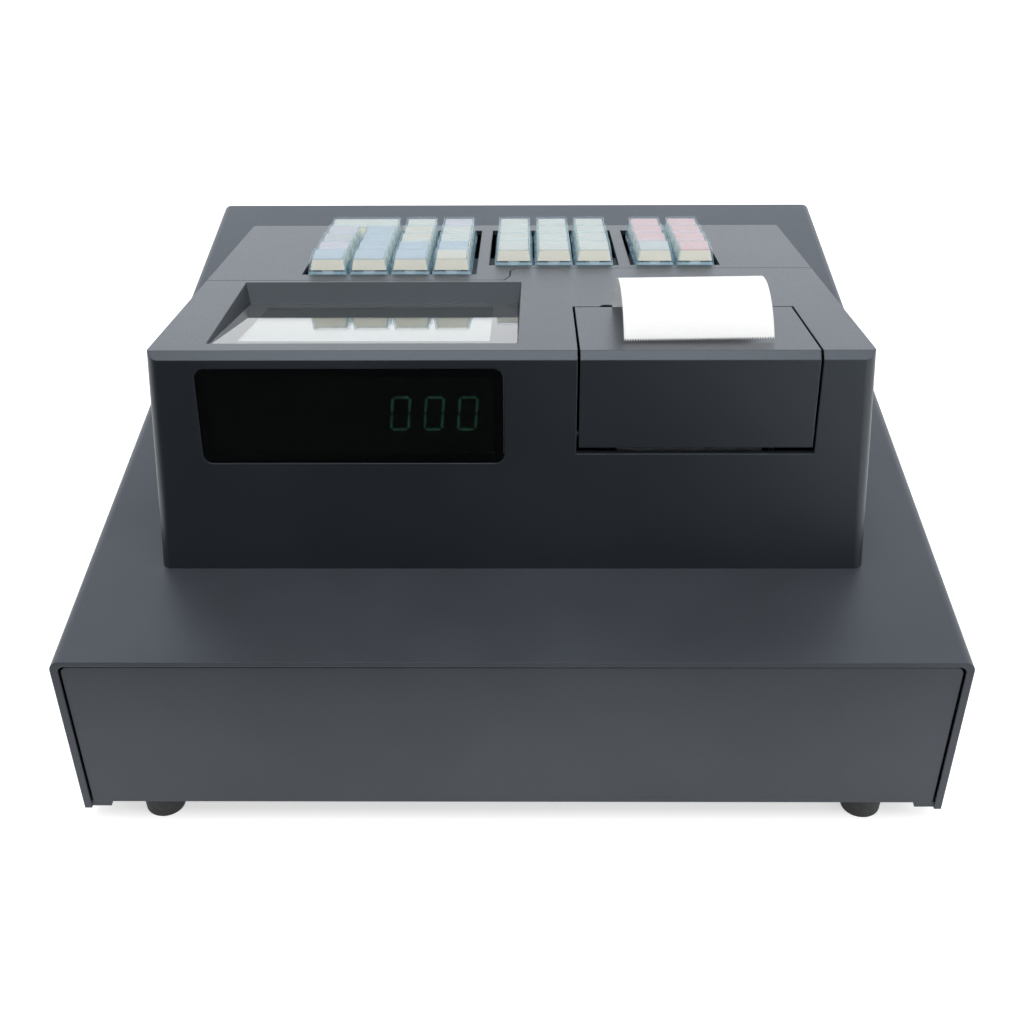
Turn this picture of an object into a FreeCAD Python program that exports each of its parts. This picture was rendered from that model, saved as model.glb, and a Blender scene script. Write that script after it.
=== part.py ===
import FreeCAD, Part
import math
import os

os.makedirs("parts", exist_ok=True)
V = FreeCAD.Vector

# Driving sizes in millimetres and degrees.
# The customer stands at -Y, the operator and the drawer's front are at +Y, and Z=0 is the counter.

# Cash drawer cabinet
cabinet_width = 350.0
cabinet_depth = 405.0
cabinet_height = 80.0
foot_height = 10.0
foot_radius = 8.7
foot_taper = 0.6
foot_inset = 12.5
foot_inset_side = 29.5
cover_sheet = 1.2
cover_bend = 4.0
hem_side = 2.9
hem_top = 2.2
hem_bottom_width = 9.5
hem_bottom_height = 3.0
panel_gap = 0.9
panel_recess = 0.8
panel_corner = 3.0
pan_sheet = 1.2
sliding_gap = 0.3

# How far a cutting shape reaches past the surface it cuts, and far past it
over = 1.0
far_over = 50.0

# Drawer and its rails
rail_width = 9.0
rail_height = 22.0
rail_sheet = 1.2
drawer_floor_gap = 2.3
drawer_sheet = 1.2
drawer_rear_space = 42.0
drawer_side_height = 54.0
front_thick = 4.0
front_recess = 1.5
lock_radius = 9.0
lock_height = 67.5
lock_proud = 1.2
lock_cam_reach = 20.6
lock_cam_thick = 2.0
lock_cam_half = 4.0
lock_edge = 0.6
key_slot_half = 1.1
key_slot_reach = 4.5
key_slot_depth = 4.0
lock_zone = 15.0
running_gap = 0.05

# Cash tray
tray_wall = 2.0
tray_floor = 2.0
tray_height = 50.0
tray_gap = 0.5
coin_length = 118.0
note_bays = 4
coin_bays = 5
bay_corner = 6.0
holder_rod = 2.0
holder_rod_inset = 14.0
holder_rod_height = 44.0
paddle_width = 22.0
paddle_length = 62.0
paddle_thick = 2.0
paddle_lift = 1.5

# Latch at the back of the drawer
solenoid_width = 24.0
solenoid_length = 30.0
solenoid_height = 26.0
solenoid_offset = 34.0
coil_radius = 4.0
coil_length = 12.0
coil_below_top = 8.0
hook_thick = 3.0
hook_pin = 2.0
hook_height = 20.0
hook_lever_half = 3.5
hook_arm_left = -2.5
hook_arm_right = 4.5
hook_tooth = 8.0
hook_tooth_gap = 2.2
hook_tooth_length = 3.0
hook_slot_half = 9.0
hook_room = 6.5

# Register housing: base outline, rear face, bevel and sloping deck
housing_half_width = 143.1
housing_rear = -145.6
housing_lean = 7.0
housing_draft = 3.05
housing_plan_taper = 0.45
rear_height = 91.4
bevel_depth = 3.2
bevel_rise = 2.56
deck_slope = 14.57
deck_length = 248.2
nose_lean = 5.0
housing_wall = 2.5
housing_corner = 4.5
nose_corner = 3.0
seam_gap = 0.5
seam_left = 117.3
seam_right = 141.6
seam_turn = -1.5
seam_turn_half = 2.5
seam_turn_near = 8.0
seam_turn_far = 6.0
base_plate = 2.5

# Customer window in the rear face
window_left = -120.5
window_right = -2.5
window_low = 48.3
window_high = 88.7
window_corner = 4.0
window_thick = 1.5
window_rebate = 1.7
window_ledge = 4.0
display_box_depth = 7.0

# Operator display recess in the deck
recess_left = -117.05
recess_right = 2.6
recess_lean_left = 21.3
recess_lean_right = 8.4
recess_near = 9.8
recess_far = 113.3
recess_foot = 104.0
recess_near_depth = 0.8
recess_far_depth = 7.4
recess_wall = 2.0
glass_thick = 2.0
glass_ledge = 5.0
glass_gap = 0.2

# Printer cover, paper and printer
cover_left = 26.3
cover_right = 117.0
cover_low = 54.8
cover_end = 66.6
cover_gap = 1.0
cover_gap_low = 2.8
hinge_from_face = 4.25
hinge_above_edge = 3.2
hinge_barrel = 3.0
hinge_pin = 1.5
hinge_length = 8.0
slot_relief_width = 6.0
slot_relief_depth = 2.9
slot_relief_under = 0.8
paper_width = 58.0
paper_middle = 71.0
paper_thick = 0.3
paper_curl = 30.4
paper_wrap = 140.8
paper_curl_below = 4.75
paper_tail = 9.0
paper_clear = 0.3
roll_radius = 25.0
roll_core = 7.0
roll_bore = 5.5
roll_behind = 27.8
roll_below = 17.0
roll_clear = 2.0
platen_radius = 7.0
platen_shaft = 2.5
platen_depth = 16.0
print_head_low = 8.0
print_head_high = 6.0
print_head_depth = 12.0
platen_end_gap = 0.5
shaft_proud = 1.0
side_plate = 2.0
side_plate_gap = 2.5

# Keys
key_pitch = 19.05
key_base = 18.5
key_taper = 1.5
key_drop = 1.5
key_near_height = 7.9
key_far_height = 9.3
key_wall = 1.0
key_insert_gap = 0.15
key_insert_lift = 1.6
key_travel = 3.5
stem_width = 6.0
stem_gap = 0.5
first_column = -85.7
first_row = 139.0
left_columns = 4
left_rows = 5
block_rows = 4
middle_columns = 3
right_columns = 2
block_gap = 9.5
well_side = 2.25
well_near = 0.75
well_far = 7.75

# Switches and boards
switch_board_depth = 15.0
switch_board_thick = 1.6
switch_size = 14.0
switch_height = 8.5
switch_floor = 1.5
switch_board_margin = 9.0
board_thick = 1.6
standoff_height = 6.0
standoff_radius = 3.5
main_board_half = 62.0
main_board_x = -62.0
main_board_y = -10.0
main_board_half_depth = 42.0
capacitor_radius = 5.0
capacitor_height = 12.0
capacitor_x = -40.0
capacitor_y = -25.0
# Blocks on the main board: x and y ranges from the board's middle, and height.
board_blocks = [(-10.0, 10.0, -10.0, 10.0, 2.0),
                (25.0, 50.0, -35.0, -15.0, 14.0),
                (-50.0, -20.0, 25.0, 33.0, 7.0)]

# Worked out from the sizes above
cabinet_top = foot_height + cabinet_height
half_width = cabinet_width / 2
half_depth = cabinet_depth / 2
pan_low = foot_height + hem_bottom_height
pan_top = pan_low + pan_sheet
panel_half = half_width - hem_side - panel_gap
panel_top = cabinet_top - hem_top - panel_gap
panel_face = -half_depth + panel_recess
front_face = half_depth - front_recess
front_back = front_face - front_thick
rail_outer = half_width - cover_sheet - sliding_gap
drawer_half = rail_outer - rail_width - sliding_gap
drawer_low = pan_top + drawer_floor_gap
drawer_high = drawer_low + drawer_side_height
drawer_rear = -half_depth + drawer_rear_space
hook_y = (panel_face + pan_sheet + drawer_rear) / 2
hook_low = pan_top + hook_height
stem_depth = switch_board_depth - switch_floor - key_travel - stem_gap
# First columns of the middle and right blocks, counted in pitches from the first key.
middle_first = left_columns + block_gap / key_pitch
right_first = middle_first + middle_columns + block_gap / key_pitch
slope = math.radians(deck_slope)
lean = math.radians(housing_lean)
wrap = math.radians(paper_wrap)
draft = math.radians(housing_draft)
plan_taper = math.tan(math.radians(housing_plan_taper))
crease_low_y = housing_rear + rear_height * math.tan(lean)
crease_y = crease_low_y + bevel_depth
crease_z = cabinet_top + rear_height + bevel_rise
nose_y = crease_y + deck_length * math.cos(slope)
nose_z = crease_z - deck_length * math.sin(slope)


def save(node, *shapes):
    # One STEP file per sub-part, one solid or a group of separate solids.
    solids = [solid for shape in shapes for solid in shape.Solids]
    for solid in solids:
        if not solid.isValid():
            raise ValueError("invalid solid in " + node)
    shape = solids[0] if len(solids) == 1 else Part.makeCompound(solids)
    shape.exportStep("parts/" + node + ".step")
    print(node, len(solids), round(shape.Volume))


def block(x0, x1, y0, y1, z0, z1):
    return Part.makeBox(x1 - x0, y1 - y0, z1 - z0, V(x0, y0, z0))


def round_edges(shape, radius, chosen):
    return shape.makeFillet(radius, [edge for edge in shape.Edges if chosen(edge)])


def runs_along(edge, axis):
    if not isinstance(edge.Curve, Part.Line):
        return False
    return abs(edge.tangentAt(edge.FirstParameter).dot(axis)) > 0.99


def prism(points, lift):
    # A flat outline pushed along a vector.
    corners = [V(*point) for point in points]
    return Part.Face(Part.makePolygon(corners + corners[:1])).extrude(V(*lift))


def across(points, x0, x1):
    # A side outline of (y, z) points pushed across the width.
    return prism([(x0, y, z) for y, z in points], (x1 - x0, 0, 0))


def rod(x0, x1, y, z, radius):
    return Part.makeCylinder(radius, x1 - x0, V(x0, y, z), V(1, 0, 0))


def on_deck(shape):
    # Local X, distance down the deck and height above it, set at the bevel's upper crease.
    placed = shape.copy()
    placed.rotate(V(0, 0, 0), V(1, 0, 0), -deck_slope)
    placed.translate(V(0, crease_y, crease_z))
    return placed


def on_rear_face(shape):
    # Local X, depth behind the rear face and height along Z, set at the housing's lower rear edge.
    placed = shape.copy()
    placed.rotate(V(0, 0, 0), V(1, 0, 0), -housing_lean)
    placed.translate(V(0, housing_rear, cabinet_top))
    return placed


def deck_z(y, depth=0.0):
    # Height of the deck, or of a plane that deep under it, at a given y.
    return crease_z - (y - crease_y) * math.tan(slope) - depth / math.cos(slope)


def rear_y(height, depth=0.0):
    return housing_rear + height * math.tan(lean) + depth / math.cos(lean)


# Cabinet cover: top and sides folded from one sheet, open ends with a narrow hem


def cabinet_cover():
    outer = block(-half_width, half_width, -half_depth, half_depth, foot_height, cabinet_top)
    outer = round_edges(outer, cover_bend,
                        lambda e: runs_along(e, V(0, 1, 0)) and e.CenterOfMass.z > cabinet_top - over)
    inner = block(-half_width + cover_sheet, half_width - cover_sheet, -half_depth + cover_sheet,
                  half_depth - cover_sheet, foot_height - over, cabinet_top - cover_sheet)
    inner = round_edges(inner, cover_bend - cover_sheet,
                        lambda e: runs_along(e, V(0, 1, 0)) and
                        e.CenterOfMass.z > cabinet_top - 2 * cover_sheet)
    mouth = block(-half_width + hem_side, half_width - hem_side, -half_depth - over, half_depth + over,
                  foot_height - over, cabinet_top - hem_top)
    mouth = round_edges(mouth, panel_corner,
                        lambda e: runs_along(e, V(0, 1, 0)) and e.CenterOfMass.z > cabinet_top - hem_top - over)
    cover = outer.cut(inner).cut(mouth)
    hem_out = half_width - cover_sheet
    for side in (-1, 1):
        low, high = sorted((side * hem_out, side * (hem_out - hem_bottom_width)))
        hem = block(low, high, -half_depth + cover_sheet, half_depth - cover_sheet, foot_height, pan_low)
        cover = cover.fuse(hem)
    save("cabinet_cover", cover.removeSplitter())


# Cabinet base: floor pan with the customer-side panel folded up, rails welded on


def cabinet_base():
    panel_back = panel_face + pan_sheet
    floor_end = front_back - panel_gap
    floor = block(-panel_half, panel_half, panel_face, floor_end, pan_low, pan_top)
    panel = block(-panel_half, panel_half, panel_face, panel_back, pan_low, panel_top)
    panel = round_edges(panel, panel_corner,
                        lambda e: runs_along(e, V(0, 1, 0)) and e.CenterOfMass.z > pan_top)
    base = floor.fuse(panel)
    rail_top = pan_top + rail_height
    for side in (-1, 1):
        low, high = sorted((side * rail_outer, side * (rail_outer - rail_width)))
        pocket_low, pocket_high = sorted((side * (rail_outer - rail_sheet),
                                          side * (rail_outer - rail_width - over)))
        rail = block(low, high, drawer_rear, floor_end, pan_top, rail_top)
        pocket = block(pocket_low, pocket_high, drawer_rear - over, floor_end + over, pan_top + rail_sheet,
                       rail_top - rail_sheet)
        base = base.fuse(rail.cut(pocket))
    save("cabinet_base", base.removeSplitter())


def rubber_feet():
    feet = []
    for x in (-half_width + foot_inset_side, half_width - foot_inset_side):
        for y in (-half_depth + foot_inset, half_depth - foot_inset):
            feet.append(Part.makeCone(foot_radius - foot_taper, foot_radius, pan_low, V(x, y, 0)))
    save("rubber_feet", *feet)


# Drawer: steel box with a bar on each side that runs in the rails


def drawer_pan():
    outer = block(-drawer_half, drawer_half, drawer_rear, front_back, drawer_low, drawer_high)
    inner = block(-drawer_half + drawer_sheet, drawer_half - drawer_sheet, drawer_rear + drawer_sheet,
                  front_back - drawer_sheet, drawer_low + drawer_sheet, drawer_high + over)
    pan = outer.cut(inner)
    bar_low = pan_top + rail_sheet + sliding_gap
    bar_high = pan_top + rail_height - rail_sheet - sliding_gap
    bar_out = rail_outer - rail_sheet - sliding_gap
    for side in (-1, 1):
        low, high = sorted((side * drawer_half, side * bar_out))
        pan = pan.fuse(block(low, high, drawer_rear, front_back, max(bar_low, drawer_low), bar_high))
    lock_hole = Part.makeCylinder(lock_radius + sliding_gap, 2 * lock_zone,
                                  V(0, front_back - lock_zone, lock_height), V(0, 1, 0))
    hook_slot = block(-hook_slot_half, hook_slot_half, drawer_rear - over, drawer_rear + drawer_sheet + over,
                      hook_low - hook_thick, hook_low + 2 * hook_thick)
    save("drawer_pan", pan.removeSplitter().cut(lock_hole).cut(hook_slot))


def drawer_front():
    front = block(-panel_half, panel_half, front_back, front_face, pan_low, panel_top)
    front = round_edges(front, panel_corner, lambda e: runs_along(e, V(0, 1, 0)))
    hole = Part.makeCylinder(lock_radius + running_gap, front_thick + 2 * over,
                             V(0, front_back - over, lock_height), V(0, 1, 0))
    save("drawer_front", front.cut(hole))


def drawer_lock():
    # Barrel with a key slot, and a cam behind it that turns up behind the cover's hem.
    cam_face = front_back - drawer_sheet - sliding_gap
    cam_back = cam_face - lock_cam_thick
    face = front_face + lock_proud
    face_zone = face - lock_proud / 2
    barrel = Part.makeCylinder(lock_radius, face - cam_back, V(0, cam_back, lock_height), V(0, 1, 0))
    barrel = round_edges(barrel, lock_edge,
                         lambda e: isinstance(e.Curve, Part.Circle) and e.CenterOfMass.y > face_zone)
    slot = block(-key_slot_half, key_slot_half, face - key_slot_depth, face + over,
                 lock_height - key_slot_reach, lock_height + key_slot_reach)
    cam = block(0, lock_cam_reach, cam_back, cam_face, lock_height - lock_cam_half,
                lock_height + lock_cam_half)
    save("drawer_lock", barrel.fuse(cam).removeSplitter().cut(slot))


# Cash tray: moulded insert with note bays at the back and coin bays at the front

tray_half = drawer_half - drawer_sheet - tray_gap
tray_rear = drawer_rear + drawer_sheet + hook_room
tray_front = front_back - drawer_sheet - lock_zone
tray_low = drawer_low + drawer_sheet
tray_top = tray_low + tray_height
bay_floor = tray_low + tray_floor
coin_rear = tray_front - tray_wall - coin_length
note_front = coin_rear - tray_wall
note_rear = tray_rear + tray_wall
rod_y = tray_rear + holder_rod_inset
rod_z = tray_low + holder_rod_height


def bays(count, y0, y1):
    # The x ranges of a row of equal bays, with their y range.
    width = (2 * tray_half - (count + 1) * tray_wall) / count
    rows = []
    for index in range(count):
        x0 = -tray_half + tray_wall + index * (width + tray_wall)
        rows.append((x0, x0 + width, y0, y1))
    return rows


def cash_tray():
    tray = block(-tray_half, tray_half, tray_rear, tray_front, tray_low, tray_top)
    for x0, x1, y0, y1 in bays(note_bays, note_rear, note_front):
        tray = tray.cut(block(x0, x1, y0, y1, bay_floor, tray_top + over))
    for x0, x1, y0, y1 in bays(coin_bays, coin_rear, tray_front - tray_wall):
        bay = block(x0, x1, y0, y1, bay_floor, tray_top + bay_corner + over)
        bay = round_edges(bay, bay_corner,
                          lambda e: runs_along(e, V(1, 0, 0)) and e.CenterOfMass.z < tray_top)
        tray = tray.cut(bay)
    tray = tray.cut(rod(-tray_half - over, tray_half + over, rod_y, rod_z, holder_rod + running_gap))
    save("cash_tray", tray)


def note_holder():
    # A rod through the tray's walls carries one sloping paddle in each note bay.
    holder = rod(-tray_half, tray_half, rod_y, rod_z, holder_rod)
    drop = rod_z - bay_floor - paddle_lift - paddle_thick
    reach = math.sqrt(paddle_length ** 2 - drop ** 2)
    for x0, x1, y0, y1 in bays(note_bays, note_rear, note_front):
        middle = (x0 + x1) / 2
        half = paddle_width / 2
        arm = across([(rod_y, rod_z - paddle_thick), (rod_y + reach, rod_z - drop - paddle_thick),
                      (rod_y + reach, rod_z - drop), (rod_y, rod_z)], middle - half, middle + half)
        holder = holder.fuse(arm).fuse(rod(middle - half, middle + half, rod_y, rod_z, 2 * holder_rod))
    save("note_holder", holder.removeSplitter())


# Latch: solenoid on the floor pan and a hook that turns on an upright pin


def latch_solenoid():
    x0 = solenoid_offset - solenoid_width / 2
    x1 = solenoid_offset + solenoid_width / 2
    y0 = hook_y - solenoid_length / 2
    frame = block(x0, x1, y0, y0 + solenoid_length, pan_top, pan_top + solenoid_height)
    coil_z = pan_top + solenoid_height - coil_below_top
    coil_hole = rod(x0 - over, x0 - over + coil_length, hook_y, coil_z, coil_radius)
    post = Part.makeCylinder(hook_pin, hook_height + 2 * hook_thick, V(0, hook_y, pan_top))
    shoulder = Part.makeCylinder(2 * hook_pin, hook_height - sliding_gap, V(0, hook_y, pan_top))
    foot = block(-3 * hook_pin, x0, hook_y - 3 * hook_pin, hook_y + 3 * hook_pin, pan_top, pan_top + pan_sheet)
    save("latch_solenoid", frame.cut(coil_hole).fuse(foot).fuse(shoulder).fuse(post).removeSplitter())


def latch_hook():
    # The arm reaches through the drawer's slot, and its tooth swings sideways behind the drawer's back wall.
    lever_end = solenoid_offset - solenoid_width / 2 - hook_pin
    tooth_near = drawer_rear + drawer_sheet + hook_tooth_gap - hook_y
    tooth_far = tooth_near + hook_tooth_length
    outline = [(-hook_slot_half, -hook_lever_half), (lever_end, -hook_lever_half), (lever_end, hook_lever_half),
               (hook_arm_right, hook_lever_half), (hook_arm_right, tooth_near), (hook_tooth, tooth_near),
               (hook_tooth, tooth_far), (hook_arm_left, tooth_far), (hook_arm_left, hook_lever_half),
               (-hook_slot_half, hook_lever_half)]
    lever = prism([(x, hook_y + y, hook_low) for x, y in outline], (0, 0, hook_thick))
    bore = Part.makeCylinder(hook_pin + running_gap, 3 * hook_thick, V(0, hook_y, hook_low - over))
    save("latch_hook", lever.cut(bore))


# Register housing: one wedge with drafted sides, split into covers along a stepped seam


def inset_outline(points, distance):
    # Moves each side of a convex outline inwards and finds the new corners.
    sides = []
    for start, end in zip(points, points[1:] + points[:1]):
        run = (end[0] - start[0], end[1] - start[1])
        length = math.hypot(*run)
        normal = (run[1] / length, -run[0] / length)
        sides.append((normal, normal[0] * start[0] + normal[1] * start[1] - distance))
    corners = []
    for (n0, d0), (n1, d1) in zip(sides[-1:] + sides[:-1], sides):
        det = n0[0] * n1[1] - n0[1] * n1[0]
        corners.append(((d0 * n1[1] - d1 * n0[1]) / det, (n0[0] * d1 - n1[0] * d0) / det))
    return corners


def housing_solid(inset, floor):
    # The wedge with its walls moved in by the inset, open down to the given floor.
    nose = math.tan(math.radians(nose_lean))
    nose_foot = nose_y + (nose_z - cabinet_top) * nose
    side = [(housing_rear, cabinet_top), (nose_foot, cabinet_top), (nose_y, nose_z), (crease_y, crease_z),
            (crease_low_y, cabinet_top + rear_height)]
    foot_rear, foot_nose, top_nose, top_crease, low_crease = inset_outline(side, inset)
    low = foot_rear[1]
    ceiling = crease_z + 4 * housing_wall
    # The four leaning walls first, with their corners rounded.
    down = low - floor
    up = ceiling - low
    walls = [(foot_rear[0] - down * math.tan(lean), floor), (foot_nose[0] + down * nose, floor),
             (foot_nose[0] - up * nose, ceiling), (foot_rear[0] + up * math.tan(lean), ceiling)]
    half = housing_half_width - inset / math.cos(draft)
    narrow = half - (ceiling - cabinet_top) * math.tan(draft)
    wide = half + (cabinet_top - floor) * math.tan(draft)
    # Each side wall also runs in towards the operator, from its full width at the rear face.
    grow = (housing_rear + half_depth) * plan_taper
    body = across(walls, -half_width, half_width)
    for side in (-1, 1):
        front_view = [(side * (wide + grow), -half_depth, floor), (side * (narrow + grow), -half_depth, ceiling),
                      (-side * half_width, -half_depth, ceiling), (-side * half_width, -half_depth, floor)]
        body = body.common(prism(front_view, (-side * cabinet_depth * plan_taper, cabinet_depth, 0)))
    body = round_edges(body, housing_corner - inset,
                       lambda e: abs(e.tangentAt(e.FirstParameter).z) > 0.9 and e.Length > rear_height)
    # Then the bevel, the deck and the rounded nose.
    bevel = (top_crease[0] - 8 * bevel_depth, top_crease[1] - 8 * bevel_rise)
    lid = across([(bevel[0], floor - over), (walls[1][0] + nose, floor - over), top_nose, top_crease, bevel],
                 -half_width, half_width)
    if not inset:
        lid = round_edges(lid, nose_corner, lambda e: runs_along(e, V(1, 0, 0)) and
                          abs(e.CenterOfMass.y - nose_y) < over and abs(e.CenterOfMass.z - nose_z) < over)
    return body.common(lid)


def seam_region(gap):
    # Everything on the operator's side of the seam, cut square to the deck.
    deep = 2 * crease_z
    far = deck_length + far_over
    edge = cabinet_width
    shift = gap / 2
    points = [(-edge, seam_left + shift), (seam_turn - seam_turn_half - shift, seam_left + shift),
              (seam_turn - shift, seam_left + seam_turn_near), (seam_turn - shift, seam_right - seam_turn_far),
              (seam_turn + seam_turn_half - shift, seam_right + shift), (edge, seam_right + shift),
              (edge, far), (-edge, far)]
    return on_deck(prism([(x, s, -deep) for x, s in points], (0, 0, 2 * deep)))


outer_wedge = housing_solid(0.0, cabinet_top)
inner_wedge = housing_solid(housing_wall, cabinet_top - over)
shell = outer_wedge.cut(inner_wedge)


# How far the recess's side walls have leant out where the recess is deepest
lean_left = math.tan(math.radians(recess_lean_left))
lean_right = math.tan(math.radians(recess_lean_right))


def recess_space():
    # The room between the side walls: upright beside the glass, and leaning out above it.
    length = recess_far - recess_near
    fall = (recess_far_depth - recess_near_depth) / (recess_foot - recess_near)
    glass = -recess_near_depth
    low = glass - glass_thick - over
    lift = 2 * recess_far_depth
    outline = [(recess_left, low), (recess_left, glass), (recess_left - lean_left * lift, glass + lift),
               (recess_right + lean_right * lift, glass + lift), (recess_right, glass), (recess_right, low)]
    return prism([(x, recess_near, n) for x, n in outline], (0, length, -length * fall))


def recess_tools():
    # Side outlines of the display recess: its hollow and the tub round it, above the glass's underside.
    ledge_near = recess_near_depth + glass_thick
    ledge_far = recess_far_depth + glass_thick
    hollow = [(recess_near, over), (recess_near, -ledge_near), (recess_foot, -ledge_far),
              (recess_foot, -recess_far_depth), (recess_far, 0.0), (recess_far, over)]
    tub = [(recess_near - recess_wall, 0.0), (recess_near - recess_wall, -ledge_near - recess_wall),
           (recess_foot + recess_wall, -ledge_far - recess_wall),
           (recess_foot + recess_wall, -recess_far_depth), (recess_far + recess_wall, 0.0)]
    return hollow, tub


def printer_opening(side_gap, end_gap, low_gap):
    # The space that the printer cover takes in the housing, with a gap all round.
    low = cabinet_top + cover_low - low_gap
    return block(cover_left - side_gap, cover_right + side_gap, housing_rear - far_over,
                 crease_y + (cover_end + end_gap) * math.cos(slope), low, crease_z + far_over)


hinge_y = rear_y(cover_low + hinge_above_edge, hinge_from_face)
hinge_z = cabinet_top + cover_low + hinge_above_edge


def top_cover():
    hollow, tub = recess_tools()
    cover = shell.cut(seam_region(-seam_gap))
    tub_left = recess_left - recess_wall - lean_left * recess_far_depth
    tub_right = recess_right + recess_wall + lean_right * recess_far_depth
    tub_solid = on_deck(across(tub, tub_left, tub_right)).common(outer_wedge)
    cover = cover.fuse(tub_solid).cut(on_deck(across(hollow, tub_left, tub_right).common(recess_space())))
    ledge_near = recess_near + glass_ledge
    ledge_far = recess_foot - glass_ledge
    opening = block(recess_left + glass_ledge, recess_right - glass_ledge, ledge_near, ledge_far,
                    -far_over, over)
    cover = cover.cut(on_deck(opening))
    pocket = block(window_left, window_right, -over, window_rebate, window_low, window_high)
    pocket = round_edges(pocket, window_corner, lambda e: runs_along(e, V(0, 1, 0)))
    through = block(window_left + window_ledge, window_right - window_ledge, -over, 3 * housing_wall,
                    window_low + window_ledge, window_high - window_ledge)
    cover = cover.cut(on_rear_face(pocket)).cut(on_rear_face(through))
    cover = cover.cut(printer_opening(cover_gap, cover_gap, cover_gap_low))
    slot_y = crease_y + (cover_end + cover_gap) * math.cos(slope)
    paper_left = paper_middle - paper_width / 2
    relief_right = paper_left + slot_relief_under
    relief = block(relief_right - slot_relief_width, relief_right, slot_y - over, slot_y + slot_relief_depth,
                   deck_z(slot_y) - 3 * housing_wall, crease_z)
    relief = round_edges(relief, slot_relief_depth,
                         lambda e: runs_along(e, V(0, 0, 1)) and e.CenterOfMass.y > slot_y)
    cover = cover.cut(relief)
    # Lugs beside the opening with the printer cover's hinge pins.
    lug = 2 * hinge_barrel
    for inner, outer in ((cover_left - cover_gap, cover_left - cover_gap - lug),
                         (cover_right + cover_gap, cover_right + cover_gap + lug)):
        low, high = sorted((inner, outer))
        bracket = block(low, high, hinge_y - lug, hinge_y + hinge_barrel, hinge_z - lug, hinge_z + hinge_barrel)
        bracket = bracket.common(inner_wedge)
        cover = cover.fuse(bracket)
    left_pin = rod(cover_left - cover_gap - over, cover_left + hinge_length - over, hinge_y, hinge_z, hinge_pin)
    right_pin = rod(cover_right - hinge_length + over, cover_right + cover_gap + over, hinge_y, hinge_z,
                    hinge_pin)
    cover = cover.fuse(left_pin).fuse(right_pin)
    save("top_cover", cover.removeSplitter())


def display_windows():
    half_gap = glass_gap / 2
    plate = block(window_left + half_gap, window_right - half_gap, window_rebate - window_thick, window_rebate,
                  window_low + half_gap, window_high - half_gap)
    plate = round_edges(plate, window_corner - half_gap, lambda e: runs_along(e, V(0, 1, 0)))
    ledge_near = recess_near_depth + glass_thick
    ledge_far = recess_far_depth + glass_thick
    fall = (recess_far_depth - recess_near_depth) / (recess_foot - recess_near)
    glass = [(recess_near + glass_gap, -recess_near_depth - glass_gap * fall),
             (recess_near + glass_gap, -ledge_near - glass_gap * fall),
             (recess_foot - glass_gap, -ledge_far + glass_gap * fall),
             (recess_foot - glass_gap, -recess_far_depth + glass_gap * fall)]
    save("display_windows", on_rear_face(plate),
         on_deck(across(glass, recess_left + glass_gap, recess_right - glass_gap)))


def well(first, columns, rows, skip):
    # The opening in the panel round one block of keys.
    near = first_row + skip * key_pitch - key_base / 2 - well_near
    far = first_row + (skip + rows - 1) * key_pitch + key_base / 2 + well_far
    left = first_column + first * key_pitch - key_base / 2 - well_side
    right = first_column + (first + columns - 1) * key_pitch + key_base / 2 + well_side
    return block(left, right, near, far, -5 * housing_wall, 5 * housing_wall)


board_near = first_row - key_base / 2 - switch_board_margin
board_far = first_row + (left_rows - 1) * key_pitch + key_base / 2 + switch_board_margin
board_left = first_column - key_base / 2 - switch_board_margin
board_right = first_column + (right_first + right_columns - 1) * key_pitch + key_base / 2 + switch_board_margin


def keyboard_panel():
    panel = shell.common(seam_region(seam_gap))
    panel = panel.cut(on_deck(well(0, left_columns, left_rows, 0)))
    panel = panel.cut(on_deck(well(middle_first, middle_columns, block_rows, 1)))
    panel = panel.cut(on_deck(well(right_first, right_columns, block_rows, 1)))
    # Four posts carry the switch board.
    inset = standoff_radius
    near_right = seam_right + 2 * standoff_radius
    places = [(board_left + inset, board_near + inset), (board_left + inset, board_far - inset),
              (board_right - inset, near_right), (board_right - inset, board_far - inset)]
    for x, s in places:
        post = Part.makeCylinder(standoff_radius, switch_board_depth - housing_wall / 2,
                                 V(x, s, -switch_board_depth))
        panel = panel.fuse(on_deck(post))
    save("keyboard_panel", panel.removeSplitter())


def printer_cover():
    # A piece of the housing's shell with a hinge barrel inside each lower corner.
    cover = shell.common(printer_opening(0.0, 0.0, 0.0))
    starts = (cover_left, cover_right - hinge_length)
    for x0 in starts:
        cover = cover.fuse(rod(x0, x0 + hinge_length, hinge_y, hinge_z, hinge_barrel))
    cover = cover.removeSplitter()
    for x0 in starts:
        cover = cover.cut(rod(x0 - over, x0 + hinge_length + over, hinge_y, hinge_z, hinge_pin + running_gap))
    save("printer_cover", cover)


# The paper rises straight from the platen and starts to curl just under the deck, so that it passes the
# middle of the gap between the printer cover and the housing.
gap_middle_y = crease_y + (cover_end + cover_gap / 2) * math.cos(slope)
curl_rise = paper_curl_below - housing_wall / 2
paper_path_y = gap_middle_y + paper_curl - math.sqrt(paper_curl ** 2 - curl_rise ** 2)
paper_curl_y = paper_path_y - paper_curl
paper_curl_z = deck_z(gap_middle_y) - paper_curl_below


def curl_point(turn, radius):
    return V(0, paper_curl_y + radius * math.cos(turn), paper_curl_z + radius * math.sin(turn))


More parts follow.
